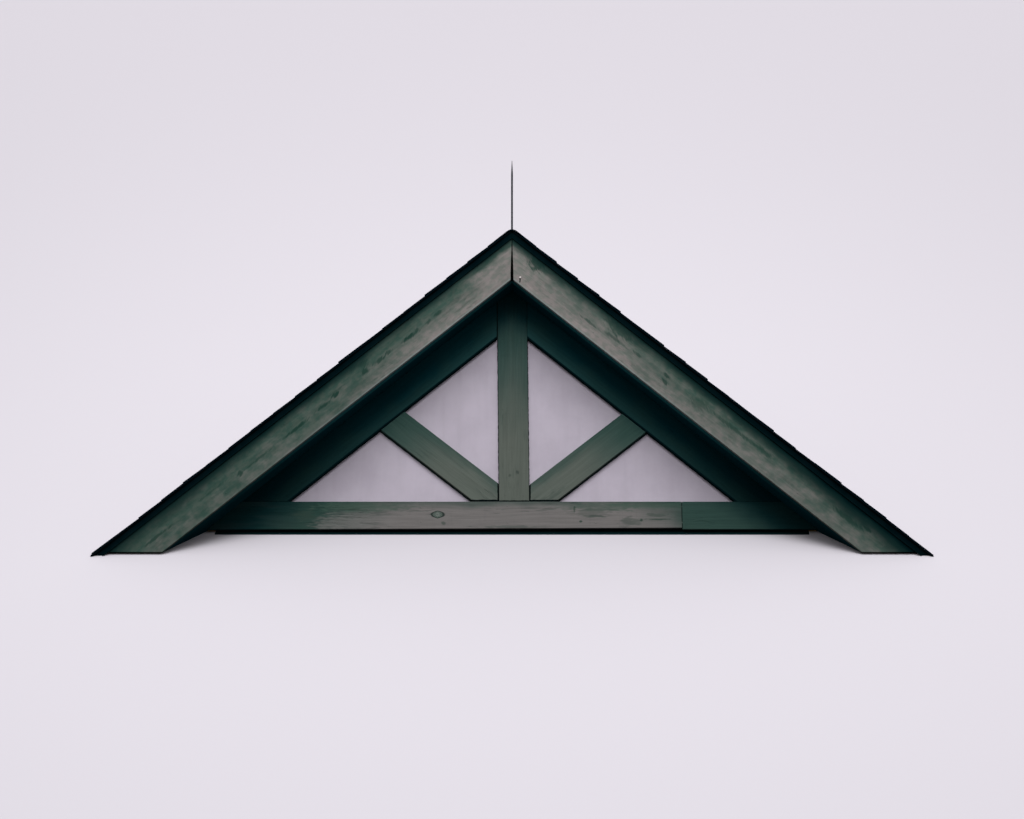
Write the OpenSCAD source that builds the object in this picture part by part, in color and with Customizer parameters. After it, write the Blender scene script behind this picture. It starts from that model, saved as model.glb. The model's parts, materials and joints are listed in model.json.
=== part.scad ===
// Half-timbered gable dormer that sits on a sloping roof.
// Front faces -Y, right is +X, up is +Z, millimetres.
// The origin lies on the underside of the sole plate, in the plane of the main roof's deck.

/* [Roof form] */
// Rise of both roofs for each 12 of run
roof_rise = 10; // [9:0.5:11]
// Height of the bargeboards' lower edge at the apex
apex_h = 1140; // [1100:10:1200]
// Distance from the wall boards to the front of the bargeboards
overhang = 171; // [150:1:200]
// Height of the bargeboards' level feet
foot_z = -190; // [-192:1:-180]

/* [Wall boards] */
// Width of the king post, struts and friezes
board_w = 139.7; // [120:0.1:150]
// Thickness of the wall boards
board_t = 19; // [18:1:25]
// Height of the sill's top edge
sill_top = 95.5; // [90:0.5:110]
// Width of the sill, trimmed to clear the main roof
sill_w = 125.5; // [120:0.5:139.5]
// Width of the sill at its left end
sill_end_w = 135; // [120:0.5:139.5]
// Distance from the centre to where the sill starts to widen
sill_bend_x = 560; // [400:10:900]
// Width of the sill's short length
short_sill_w = 133; // [120:0.5:139.5]
// Distance from the king post to the joint in the sill
sill_joint_x = 790; // [600:10:900]
// How far the king post's foot stands to the right of its top
post_lean = 10; // [0:1:15]
// Slope of the struts in degrees
strut_angle = 38.5; // [36:0.5:42]
// Height above the sill at which the left strut's upper edge meets the king post
left_strut_rise = 93; // [60:1:100]
// The same height for the right strut
right_strut_rise = 72; // [60:1:100]
// Gap between one painted board and the next
joint_gap = 3; // [1:0.5:5]

/* [Verge] */
// Width of the bargeboards and fly rafters
barge_w = 184; // [170:1:190]
// Thickness of the bargeboards
barge_t = 19; // [18:1:25]
// Gap at the lower end of the bargeboards' plumb joint
barge_gap = 8; // [2:1:12]
// Height of the drip edge's face
drip_h = 22; // [20:1:35]
// Width of the drip edge's top flange
drip_flange = 50; // [40:1:60]

/* [Framing] */
// Thickness of the framing timber
timber_t = 38; // [35:1:45]
// Depth of the gable studs
stud_d = 89; // [80:1:95]
// Spacing of studs, jack rafters and lookouts
spacing = 406; // [380:1:410]
// Depth of the rafters
rafter_d = 140; // [130:1:150]
// Depth of the ridge board
ridge_d = 184; // [183:1:200]
// Width of the valley sleepers
sleeper_w = 235; // [220:1:240]

/* [Sheets] */
// Thickness of the roof deck
deck_t = 12; // [9:1:15]
// Thickness of the soffit
soffit_t = 9; // [6:1:12]
// Thickness of the wall sheathing
sheath_t = 12; // [9:1:15]
// Thickness of the infill panels
panel_t = 10; // [8:1:12]
// Thickness of the flashing and the drip edge
metal_t = 1; // [0.8:0.1:1.5]

/* [Shingles] */
// Length of each course that shows
exposure = 130.5; // [120:0.5:140]
// Thickness of the shingles just below a butt
shingle_low = 9; // [5:0.5:10]
// Thickness of the shingles at a butt
shingle_high = 15; // [12:0.5:16]
// Distance from the ridge to the first butt, along the slope
first_butt = 270; // [240:1:280]
// Width of one half of a ridge cap
cap_w = 150; // [140:1:165]
// Thickness of a ridge cap at its butt
cap_t = 6; // [4:0.5:10]
// Length of each ridge cap that shows
cap_exposure = 138; // [127:1:150]
// Distance from the centre to the plumb-cut ends of the front corners
tip_x = 1920; // [1905:1:1930]

/* [Lightning rod] */
// Diameter of the rod
rod_d = 9.5; // [8:0.5:16]
// Height of the rod's tip
rod_tip_z = 1852; // [1750:1:2000]
// Distance from the front of the bargeboards back to the rod
rod_back = 250; // [200:10:400]

/* [Hidden] */
$fn = 48;

// Pitch of both roofs in degrees
pitch = atan(roof_rise / 12);
// Larger than the whole dormer, for cutting planes
big = 5000;
// Clearance that keeps mirrored halves apart at the ridge
half_gap = 0.5;

// Depths from front to back
plate_w = 1.21 * stud_d;
frame_y = -plate_w / 2;
sheath_y = frame_y - sheath_t;
panel_y = sheath_y - panel_t;
wall_y = panel_y - board_t;
barge_y = wall_y - overhang;
fly_y = barge_y + barge_t;
soffit_y = fly_y + timber_t;
shingle_y = barge_y - 10;

// Heights above the slope through the bargeboards' lower edges
soffit_rise = 3;
frieze_low = soffit_rise - board_w;
shingle_p = barge_w;
deck_p = shingle_p - deck_t;
ridge_flat_p = shingle_p + 8;
rafter_p = deck_p - rafter_d;

// The main roof's own shingles, which the dormer's cladding stands on
main_shingle = 12;

// Height of the panels' lower edge, hidden behind the sill
panel_low = sill_top - 0.75 * board_w;
// Width of a strut measured upright
strut_drop = board_w / cos(strut_angle);
// Distance from the centre to the king post's edges at its foot
left_post_x = board_w / 2 - post_lean;
right_post_x = board_w / 2 + post_lean;
// Where the deck's underside meets the main roof, as X plus Y
valley_c = (apex_h + deck_p / cos(pitch)) / tan(pitch);
// Width of a valley sleeper along X
sleeper_plan = sleeper_w * (1 / cos(pitch) + cos(pitch)) / sqrt(2 + pow(tan(pitch), 2));
ridge_top = apex_h + deck_p / cos(pitch) - timber_t / 2 * tan(pitch);

wood_green = [0.20, 0.25, 0.21];
wood_grey = [0.36, 0.37, 0.33];
lumber = [0.72, 0.60, 0.43];
sheet_wood = [0.66, 0.55, 0.40];
panel_grey = [0.72, 0.69, 0.73];
shingle_brown = [0.30, 0.27, 0.26];
metal_dark = [0.10, 0.13, 0.12];

// Height of a line parallel to the roof, p above the bargeboards' lower edge
function slope_z(p, x) = apex_h + p / cos(pitch) - x * tan(pitch);
// Distance from the centre at which that line has height z
function slope_x(p, z) = (apex_h + p / cos(pitch) - z) / tan(pitch);
// Height of a line parallel to a strut, rise above the sill at the king post's width
function strut_z(rise, x) = sill_top + rise + (x - board_w / 2) * tan(strut_angle);
// Distance down the slope of the vertical plane through the ridge, at height p
function apex_s(p) = -p * tan(pitch);
// Courses that reach from the ridge to the main roof at the front corners
course_count = ceil(slope_x(ridge_flat_p, barge_y * tan(pitch)) / cos(pitch) / exposure);

// An outline in X and Z, made solid from depth y0 to depth y1
module along_y(y0, y1) {
    translate([0, y1, 0]) rotate([90, 0, 0]) linear_extrude(y1 - y0) children();
}

// Everything more than h above the main roof's deck, measured square to it
module above_main_roof(h) {
    rotate([pitch, 0, 0]) translate([-big, -big, h]) cube([2 * big, 2 * big, big]);
}

// Outline of a layer of the right slope from height p0 to p1, from x outwards
module slope_band(p0, p1, x, far = big / 2) {
    polygon([
        [x, slope_z(p0, x)],
        [x, slope_z(p1, x)],
        [far, slope_z(p1, far)],
        [far, slope_z(p0, far)]
    ]);
}

// Outline of all that lies below height p of the right slope, right of x and above z
module below_slope(p, x, z) {
    polygon([[x, z], [x, slope_z(p, x)], [slope_x(p, z), z]]);
}

// Outline of the whole gable below height p and above z
module gable_outline(p, z) {
    polygon([[-slope_x(p, z), z], [0, slope_z(p, 0)], [slope_x(p, z), z]]);
}

// Outline of all that lies above a line parallel to the right strut
module above_strut(rise) {
    polygon([
        [0, strut_z(rise, 0)],
        [big, strut_z(rise, big)],
        [0, big]
    ]);
}

// Outline of the ridge board
module ridge_outline() {
    translate([-timber_t / 2, ridge_top - ridge_d]) square([timber_t, ridge_d]);
}

// Outline of the notch that lets the ridge board through a piece
module ridge_notch() {
    translate([-timber_t / 2, ridge_top - ridge_d]) square([timber_t, 2 * ridge_d]);
}

// A section in Y and height p, drawn out along the right slope from s0 to s1
module along_slope(s0, s1) {
    translate([0, 0, apex_h]) rotate([0, pitch, 0]) translate([s0, 0, 0])
        rotate([90, 0, 90]) linear_extrude(s1 - s0) children();
}

// An outline in s, down the right slope, and height p, made solid in depth
module slope_profile(y0, y1) {
    translate([0, 0, apex_h]) rotate([0, pitch, 0]) along_y(y0, y1) children();
}

// Keeps what lies between the vertical planes at x0 and x1
module between_x(x0, x1) {
    intersection() {
        children();
        translate([x0, -big, -big]) cube([x1 - x0, 2 * big, 2 * big]);
    }
}

module left_side() {
    mirror([1, 0, 0]) children();
}

// Framing

// Plate on the roof deck under the gable studs, ripped plumb on both edges
module sole_plate() {
    color(lumber) intersection() {
        rotate([pitch, 0, 0]) translate([-big, -big, 0]) cube([2 * big, 2 * big, timber_t]);
        translate([0, 0, -big / 2]) linear_extrude(big) sole_plate_plan();
    }
}

module sole_plate_plan() {
    front_x = valley_c - frame_y - sleeper_plan - joint_gap;
    back_x = front_x - plate_w;
    polygon([
        [-front_x, frame_y],
        [front_x, frame_y],
        [back_x, -frame_y],
        [-back_x, -frame_y]
    ]);
}

// Board laid flat on the roof deck along the valley, its outer edge bevelled under the deck
module valley_sleeper() {
    outer = valley_c - half_gap;
    color(lumber) intersection() {
        rotate([pitch, 0, 0]) translate([0, -big, 0]) cube([big, 2 * big, timber_t]);
        translate([0, 0, -big / 2]) linear_extrude(big) polygon([
            [outer - frame_y, frame_y],
            [outer - frame_y - sleeper_plan, frame_y],
            [half_gap, outer - sleeper_plan - half_gap],
            [half_gap, outer - half_gap]
        ]);
        along_y(-big, big) below_slope(deck_p, half_gap, -big / 2);
    }
}

module ridge_board() {
    color(lumber) intersection() {
        along_y(soffit_y, valley_c) ridge_outline();
        above_main_roof(timber_t);
    }
}

module gable_studs() {
    color(lumber) intersection() {
        for (i = [-3:3]) {
            translate([i * spacing - timber_t / 2, frame_y, -big / 2])
                cube([timber_t, stud_d, big]);
        }
        above_main_roof(timber_t);
        along_y(frame_y, frame_y + stud_d) difference() {
            gable_outline(rafter_p, -big / 4);
            ridge_notch();
        }
    }
}

// One rafter of the right slope whose front face is at depth y
module rafter(y) {
    intersection() {
        along_y(y, y + timber_t) slope_band(rafter_p, deck_p, timber_t / 2);
        above_main_roof(timber_t);
    }
}

module gable_rafter() {
    color(lumber) rafter(frame_y);
}

module jack_rafters() {
    color(lumber) for (i = [1:3]) {
        rafter(frame_y + i * spacing);
    }
}

// Blocks that carry the overhang, between the sheathing and the fly rafter
module lookouts() {
    low_p = soffit_rise + soffit_t;
    first = timber_t;
    color(lumber) for (i = [0:4]) {
        along_slope(first + i * spacing, first + i * spacing + timber_t)
            translate([soffit_y, low_p]) square([sheath_y - soffit_y, deck_p - low_p]);
    }
}

module fly_rafter() {
    color(wood_green) intersection() {
        along_y(fly_y, soffit_y) slope_band(0, deck_p, half_gap);
        above_main_roof(main_shingle + 4);
    }
}

// Wall

module wall_sheathing() {
    color(sheet_wood) intersection() {
        along_y(sheath_y, frame_y) difference() {
            gable_outline(deck_p, -big / 4);
            ridge_notch();
        }
        above_main_roof(0);
    }
}

// Panel between king post, strut and frieze
module upper_panel(rise) {
    color(panel_grey) along_y(panel_y, sheath_y) intersection() {
        below_slope(soffit_rise, half_gap, 0);
        above_strut(rise - strut_drop / 2 + joint_gap);
    }
}

// Panel under the strut
module lower_panel(rise) {
    color(panel_grey) along_y(panel_y, sheath_y) difference() {
        below_slope(soffit_rise, half_gap, panel_low);
        above_strut(rise - strut_drop / 2);
    }
}

// Board in the middle, a little out of plumb
module king_post() {
    top = slope_z(soffit_rise, 0);
    color(wood_green) along_y(wall_y, panel_y) intersection() {
        polygon([
            [post_lean - board_w / 2, sill_top],
            [post_lean + board_w / 2, sill_top],
            [board_w / 2, top],
            [-board_w / 2, top]
        ]);
        gable_outline(soffit_rise, 0);
    }
}

// Brace that rises from the foot of the king post, whose edge is at post_x, to the frieze
module strut(rise, post_x) {
    color(wood_green) along_y(wall_y, panel_y) difference() {
        below_slope(frieze_low - joint_gap, post_x + joint_gap, sill_top + joint_gap / 3);
        above_strut(rise);
        difference() {
            square(big);
            above_strut(rise - strut_drop);
        }
    }
}

// Board along the slope, under the soffit, that stands on the sill
module frieze() {
    color(wood_green) along_y(wall_y, panel_y) intersection() {
        slope_band(frieze_low, soffit_rise, board_w / 2 + joint_gap);
        translate([0, sill_top + joint_gap / 3]) square(big);
    }
}

// Length of the sill with a given outline, its end cut under the soffit
module sill_length() {
    along_y(wall_y, panel_y) intersection() {
        children();
        gable_outline(soffit_rise, -big / 4);
    }
}

// Long length, wider towards its left end, where the roof leaves more room
module sill_board_long() {
    end_x = slope_x(soffit_rise, sill_top - sill_end_w);
    color(wood_grey) sill_length() polygon([
        [-end_x, sill_top],
        [-end_x, sill_top - sill_end_w],
        [-sill_bend_x, sill_top - sill_w],
        [sill_joint_x, sill_top - sill_w],
        [sill_joint_x, sill_top]
    ]);
}

// Short length, right of the joint
module sill_board_short() {
    color(wood_green) sill_length()
        translate([sill_joint_x + joint_gap, sill_top - short_sill_w])
        square([big / 2, short_sill_w]);
}

// Angle of sheet metal at the foot of the wall, its lower leg on the main roof's shingles
module wall_flashing() {
    leg_x = slope_x(soffit_rise, panel_low) - joint_gap;
    color(metal_dark) intersection() {
        union() {
            translate([-leg_x, sheath_y - metal_t, -big / 4])
                cube([2 * leg_x, metal_t, big / 4 + panel_low]);
            rotate([pitch, 0, 0]) translate([-leg_x, -big, main_shingle])
                cube([2 * leg_x, 2 * big, metal_t]);
        }
        translate([-leg_x, wall_y, -big / 4]) cube([2 * leg_x, sheath_y - wall_y, big]);
        above_main_roof(main_shingle);
    }
}

// Overhang

module soffit() {
    color(wood_green) intersection() {
        along_y(soffit_y, sheath_y)
            slope_band(soffit_rise, soffit_rise + soffit_t, half_gap);
        above_main_roof(main_shingle);
    }
}

// Board along the verge with a plumb joint at the apex and a level foot
module bargeboard() {
    color(wood_grey) along_y(barge_y, fly_y) polygon([
        [half_gap, slope_z(barge_w, half_gap)],
        [slope_x(barge_w, foot_z), foot_z],
        [slope_x(0, foot_z), foot_z],
        [barge_gap / 2, slope_z(0, barge_gap / 2)]
    ]);
}

module drip_edge() {
    kick = 5;
    front = barge_y - metal_t;
    color(metal_dark) between_x(half_gap, big) intersection() {
        along_slope(-big / 2, big) polygon([
            [barge_y, shingle_p - drip_h],
            [barge_y, shingle_p],
            [barge_y + drip_flange, shingle_p],
            [barge_y + drip_flange, shingle_p + metal_t],
            [front, shingle_p + metal_t],
            [front, shingle_p - drip_h],
            [front - kick, shingle_p - drip_h - kick],
            [front - kick + metal_t, shingle_p - drip_h - kick - metal_t]
        ]);
        above_main_roof(main_shingle);
    }
}

// Roof covering

module roof_deck() {
    color(sheet_wood) intersection() {
        along_y(fly_y, valley_c + deck_t * 3) slope_band(deck_p, shingle_p, 2 * half_gap);
        above_main_roof(0);
    }
}

// Section of the courses, each one a wedge that ends in a butt over the next
module shingle_section() {
    start = apex_s(ridge_flat_p) + first_butt;
    courses = [
        for (i = [0:course_count - 1])
            for (edge = [shingle_high, shingle_low])
                [start + i * exposure, shingle_p + edge]
    ];
    polygon(concat(
        [[-big / 4, shingle_p], [-big / 4, ridge_flat_p]],
        [[apex_s(ridge_flat_p) + cap_w, ridge_flat_p]],
        courses,
        [[start + course_count * exposure, shingle_p + shingle_high]],
        [[start + course_count * exposure, shingle_p]]
    ));
}

module shingles() {
    color(shingle_brown) between_x(half_gap, tip_x) intersection() {
        difference() {
            slope_profile(shingle_y, valley_c + big / 10) shingle_section();
            along_slope(-big, big) translate([shingle_y - 1, shingle_p])
                square([drip_flange + barge_y - shingle_y + 1, metal_t]);
        }
        above_main_roof(main_shingle);
    }
}

// Caps folded over the ridge, each one lapped by the one behind it
module ridge_caps() {
    color(shingle_brown) {
        cap_side();
        left_side() cap_side();
    }
}

module cap_side() {
    count = ceil((valley_c - shingle_y) / cap_exposure);
    teeth = [
        for (i = [0:count - 1])
            for (edge = [[0, cap_t], [cap_exposure, cap_t / 3]])
                [shingle_y + i * cap_exposure + edge[0], ridge_flat_p + edge[1]]
    ];
    between_x(0, big) intersection() {
        along_slope(-big / 4, apex_s(ridge_flat_p) + cap_w) polygon(concat(
            teeth,
            [[shingle_y + count * cap_exposure, ridge_flat_p], [shingle_y, ridge_flat_p]]
        ));
        above_main_roof(main_shingle);
    }
}

// Lightning rod

rod_y = barge_y + rod_back;
boss_z = slope_z(ridge_flat_p + cap_t, 0);
boss_h = 45;

// Saddle over the ridge caps with a boss for the rod
module rod_base() {
    color(metal_dark) difference() {
        union() {
            for (side = [0, 1]) {
                mirror([side, 0, 0]) between_x(0, big)
                    along_slope(-big / 4, apex_s(ridge_flat_p) + 75)
                    translate([rod_y - 20, ridge_flat_p]) square([40, cap_t + 4]);
            }
            translate([0, rod_y, boss_z - 8]) cylinder(d = 26, h = boss_h);
            translate([0, rod_y, boss_z + boss_h - 8]) cylinder(d1 = 26, d2 = 16, h = 12);
        }
        cap_side();
        left_side() cap_side();
        translate([0, rod_y, boss_z + 4]) cylinder(d = rod_d, h = 2 * boss_h);
        along_y(rod_y - 100, rod_y + 100) gable_outline(ridge_flat_p, 0);
    }
}

module lightning_rod() {
    foot = boss_z + 4;
    point = 70;
    color(metal_dark) translate([0, rod_y, 0]) rotate_extrude() polygon([
        [0, foot],
        [rod_d / 2, foot],
        [rod_d / 2, rod_tip_z - point],
        [rod_d / 8, rod_tip_z - 2],
        [0, rod_tip_z]
    ]);
}

sole_plate();
left_side() valley_sleeper();  // valley_sleeper_left
valley_sleeper();  // valley_sleeper_right
ridge_board();
gable_studs();
left_side() gable_rafter();  // gable_rafter_left
gable_rafter();  // gable_rafter_right
left_side() jack_rafters();  // jack_rafters_left
jack_rafters();  // jack_rafters_right
left_side() lookouts();  // lookouts_left
lookouts();  // lookouts_right
left_side() fly_rafter();  // fly_rafter_left
fly_rafter();  // fly_rafter_right
wall_sheathing();
left_side() upper_panel(left_strut_rise);  // upper_panel_left
upper_panel(right_strut_rise);  // upper_panel_right
left_side() lower_panel(left_strut_rise);  // lower_panel_left
lower_panel(right_strut_rise);  // lower_panel_right
king_post();
left_side() strut(left_strut_rise, left_post_x);  // strut_left
strut(right_strut_rise, right_post_x);  // strut_right
left_side() frieze();  // frieze_left
frieze();  // frieze_right
sill_board_long();
sill_board_short();
left_side() soffit();  // soffit_left
soffit();  // soffit_right
left_side() bargeboard();  // bargeboard_left
bargeboard();  // bargeboard_right
left_side() roof_deck();  // roof_deck_left
roof_deck();  // roof_deck_right
left_side() drip_edge();  // drip_edge_left
drip_edge();  // drip_edge_right
left_side() shingles();  // shingles_left
shingles();  // shingles_right
ridge_caps();
wall_flashing();
rod_base();
lightning_rod();
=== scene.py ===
import functools
import inspect
import json
import math
import random
from dataclasses import dataclass

import bmesh
import bpy
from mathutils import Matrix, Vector


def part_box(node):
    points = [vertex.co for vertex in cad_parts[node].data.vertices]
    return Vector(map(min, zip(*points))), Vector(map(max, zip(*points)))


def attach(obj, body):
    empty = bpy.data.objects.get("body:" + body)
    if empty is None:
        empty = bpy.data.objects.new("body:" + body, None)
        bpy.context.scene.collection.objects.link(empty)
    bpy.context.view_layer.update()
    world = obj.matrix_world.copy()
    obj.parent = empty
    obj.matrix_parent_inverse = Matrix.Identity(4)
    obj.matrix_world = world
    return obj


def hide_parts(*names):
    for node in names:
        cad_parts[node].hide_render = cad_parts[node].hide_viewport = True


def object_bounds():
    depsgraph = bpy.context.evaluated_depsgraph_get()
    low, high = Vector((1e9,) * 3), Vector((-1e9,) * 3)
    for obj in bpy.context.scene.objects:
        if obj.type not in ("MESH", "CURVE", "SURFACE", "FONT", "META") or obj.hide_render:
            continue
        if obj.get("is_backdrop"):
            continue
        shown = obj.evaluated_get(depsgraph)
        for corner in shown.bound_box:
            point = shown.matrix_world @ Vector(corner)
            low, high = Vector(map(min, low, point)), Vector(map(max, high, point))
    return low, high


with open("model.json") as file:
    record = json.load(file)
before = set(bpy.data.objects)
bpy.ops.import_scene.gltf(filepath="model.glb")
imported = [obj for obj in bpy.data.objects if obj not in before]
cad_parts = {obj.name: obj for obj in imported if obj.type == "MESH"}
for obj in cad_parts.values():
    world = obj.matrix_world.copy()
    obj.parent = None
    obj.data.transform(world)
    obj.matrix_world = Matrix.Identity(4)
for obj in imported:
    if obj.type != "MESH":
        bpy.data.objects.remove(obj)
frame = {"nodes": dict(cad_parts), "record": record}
cad_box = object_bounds()

# Sizes in metres, the same as in the part's source: the two slopes
PITCH = math.atan(10 / 12)
APEX_HEIGHT = 1.140
BARGE_WIDTH = 0.184
DECK_TOP = 0.184
RIDGE_FLAT = 0.192
ROOF_TIP = 1.920
# The frame
STRUT_ANGLE = math.radians(38.5)
SPACING = 0.406
TIMBER = 0.038
# The covering, and how high the one lies that the dormer stands on
EXPOSURE = 0.1305
SHINGLE_LOW = 0.009
SHINGLE_HIGH = 0.015
SHINGLE_FRONT = -0.2758
FIRST_BUTT = 0.270
CAP_WIDTH = 0.150
CAP_THICKNESS = 0.006
CAP_EXPOSURE = 0.138
SEAT_LIFT = 0.012
# The front faces of the wall boards and of the bargeboards
BOARD_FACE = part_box("king_post")[0].y
VERGE_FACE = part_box("bargeboard_left")[0].y

COS, SIN, TAN = math.cos(PITCH), math.sin(PITCH), math.tan(PITCH)
LEFT, RIGHT = -1, 1
SIDES = {"left": LEFT, "right": RIGHT}
ORIGIN = (0, 0, 0)
LEVEL, INWARD, UPRIGHT = Vector((1, 0, 0)), Vector((0, 1, 0)), Vector((0, 0, 1))
SEAT_NORMAL = Vector((0, -SIN, COS))
NODE_ORDER = sorted(frame["nodes"])
SLOT_OF = {part["node"]: part["material_slot"] for part in frame["record"]["subparts"]}

# How far the corners of sawn boards are eased
EASED_EDGE = 0.0015
# Nail heads: how wide they are, how far they stand out and how far astray they are driven
NAIL_RADIUS = 0.0040
NAIL_PROUD = 0.0012
NAIL_ASTRAY = 0.004


def srgb(red, green, blue):
    """A colour written as on a screen, from 0 to 255, as the linear one that shaders use."""
    def linear(value):
        share = value / 255
        return share / 12.92 if share <= 0.04045 else ((share + 0.055) / 1.055) ** 2.4
    return (linear(red), linear(green), linear(blue), 1.0)


# Places on the two roof slopes

def down_slope(side):
    """The direction down a slope."""
    return Vector((side * COS, 0, -SIN))


def out_of_slope(side):
    """The direction square to a slope, away from the room below."""
    return Vector((side * SIN, 0, COS))


def inward(_side):
    """The direction from the front to the back, the same on both slopes."""
    return INWARD


def on_slope(side, down, depth, height):
    """A point down the slope from the apex, at a depth and at a height above the verge's edge."""
    apex = Vector((0, depth, APEX_HEIGHT))
    return apex + down_slope(side) * down + out_of_slope(side) * height


def ridge_start(height):
    """How far down the slope the ridge's own plane lies, at a height above the verge's edge."""
    return -height * TAN


def valley_depth(point):
    """The depth at which a level line through a point meets what the dormer stands on."""
    return (point.z * COS - SEAT_LIFT) / SIN


# Meshes

def whole_faces(node):
    """A CAD solid's surface, with each flat face in one piece."""
    mesh = bmesh.new()
    mesh.from_mesh(frame["nodes"][node].data)
    bmesh.ops.remove_doubles(mesh, verts=mesh.verts, dist=1e-5)
    flat_within = math.radians(1)
    bmesh.ops.dissolve_limit(mesh, angle_limit=flat_within, verts=mesh.verts, edges=mesh.edges)
    return mesh


def ease_edges(mesh, width):
    """Takes the sharpness off a board's corners."""
    sharp_from = math.radians(25)
    corners = [edge for edge in mesh.edges if edge.calc_face_angle(0) > sharp_from]
    bmesh.ops.bevel(
        mesh, geom=corners, offset=width, segments=2, profile=0.5, affect="EDGES",
        clamp_overlap=True,
    )


def loose_parts(mesh):
    """The separate solids in a mesh, each as a list of its corners."""
    seen = set()
    for start in mesh.verts:
        if start in seen:
            continue
        part, waiting = [], [start]
        seen.add(start)
        while waiting:
            corner = waiting.pop()
            part.append(corner)
            for edge in corner.link_edges:
                other = edge.other_vert(corner)
                if other not in seen:
                    seen.add(other)
                    waiting.append(other)
        yield part


def grain_axes(along, across):
    """The three directions of a board's grain."""
    along, across = along.normalized(), across.normalized()
    return along, across, along.cross(across)


def measured(axes, point):
    """A point as counted along each of three directions."""
    return Vector([axis.dot(point) for axis in axes])


def mark_grain(mesh, along, across, seed):
    """Keeps each corner's place along and across its own board, for the wood's grain."""
    axes = grain_axes(along, across)
    layer = mesh.verts.layers.float_vector.new("grain")
    for number, part in enumerate(loose_parts(mesh)):
        first, lowest = (min(axis.dot(corner.co) for corner in part) for axis in axes[:2])
        apart = 3.7 * (seed + 0.31 * number)
        for corner in part:
            corner[layer] = measured(axes, corner.co) + Vector((-first, -lowest, apart))


def nail_head(mesh, place, radius, stand_off):
    """A low round head whose face looks to the front, with its rim just inside the board."""
    sunk, face = 0.0003, 0.7
    made = bmesh.ops.create_cone(
        mesh, cap_ends=True, segments=10, radius1=radius, radius2=radius * face, depth=stand_off
    )
    for corner in made["verts"]:
        x, y, z = corner.co
        corner.co = place + Vector((x, -z - stand_off / 2 + sunk, y))
    return made["verts"]


def drive_nails(mesh, places, along, across):
    """Sets nail heads in a board's front, brushed over with the board's own stain."""
    draw = random.Random(len(places))
    axes = grain_axes(along, across)
    layer = mesh.verts.layers.float_vector["grain"]
    mesh.verts.ensure_lookup_table()
    start = mesh.verts[0]
    shift = Vector(start[layer]) - measured(axes, start.co)
    for place in places:
        sideways = draw.uniform(-NAIL_ASTRAY, NAIL_ASTRAY)
        astray = Vector((sideways, 0, draw.uniform(-NAIL_ASTRAY, NAIL_ASTRAY)))
        for corner in nail_head(mesh, place + astray, NAIL_RADIUS, NAIL_PROUD):
            corner[layer] = measured(axes, corner.co) + shift


def add_object(name, data):
    """Puts a mesh, a lamp or a camera into the scene."""
    thing = bpy.data.objects.new(name, data)
    bpy.context.scene.collection.objects.link(thing)
    return thing


def finished_data(name, mesh, materials):
    """A mesh that has been built, ready for an object."""
    data = bpy.data.meshes.new(name)
    mesh.to_mesh(data)
    mesh.free()
    for material in materials:
        data.materials.append(material)
    return data


def make_piece(name, mesh, materials, slot, replaced=()):
    """Turns a mesh into a piece that rides on the dormer."""
    data = finished_data(name, mesh, materials)
    for leftover in ("custom_normal", "sharp_edge", "sharp_face"):
        if leftover in data.attributes:
            data.attributes.remove(data.attributes[leftover])
    for polygon in data.polygons:
        polygon.use_smooth = False
    piece = add_object(name, data)
    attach(piece, "root")
    if replaced:
        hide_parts(*replaced)


def dress_board(node, material, along, across, nails=()):
    """Replaces a CAD board by one with eased edges, a grain of its own and its nails."""
    mesh = whole_faces(node)
    for layer in list(mesh.loops.layers.uv.values()):
        mesh.loops.layers.uv.remove(layer)
    for face in mesh.faces:
        face.material_index = 0
    ease_edges(mesh, EASED_EDGE)
    mark_grain(mesh, along, across, NODE_ORDER.index(node))
    drive_nails(mesh, nails, along, across)
    make_piece(node + "_wood", mesh, [material], SLOT_OF[node], [node])


def mirror_pair(kind, material, along, across):
    """Dresses the left and the right one of a pair of boards, with directions for each side."""
    for word, side in SIDES.items():
        dress_board(f"{kind}_{word}", material, along(side), across(side))


def carry_over(node, material):
    """Gives a CAD solid that keeps its shape its finish."""
    solid = frame["nodes"][node]
    if not solid.material_slots:
        solid.data.materials.append(material)
    for place in solid.material_slots:
        place.material = material


# Shader nodes, written as formulas

def feed(socket, value):
    """Joins a node's input to a value, or sets it to a plain one."""
    if isinstance(value, Value):
        socket.id_data.links.new(value.socket, socket)
    else:
        socket.default_value = value


def add_node(tree, kind, inputs=None, **settings):
    """Adds a shader node and gives its outputs, by their numbers and by their names."""
    node = tree.nodes.new("ShaderNode" + kind)
    for setting, value in settings.items():
        setattr(node, setting, value)
    for key, value in (inputs or {}).items():
        feed(node.inputs[key], value)
    outputs = [Value(socket) for socket in node.outputs]
    return dict(enumerate(outputs)) | {value.socket.name: value for value in outputs}


def tree_of(*parts):
    """The node tree that the first value among some parts is in."""
    return next(part.socket.id_data for part in parts if isinstance(part, Value))


def joined(x, y, z):
    """Three numbers as one place."""
    return add_node(tree_of(x, y, z), "CombineXYZ", {0: x, 1: y, 2: z})[0]


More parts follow.
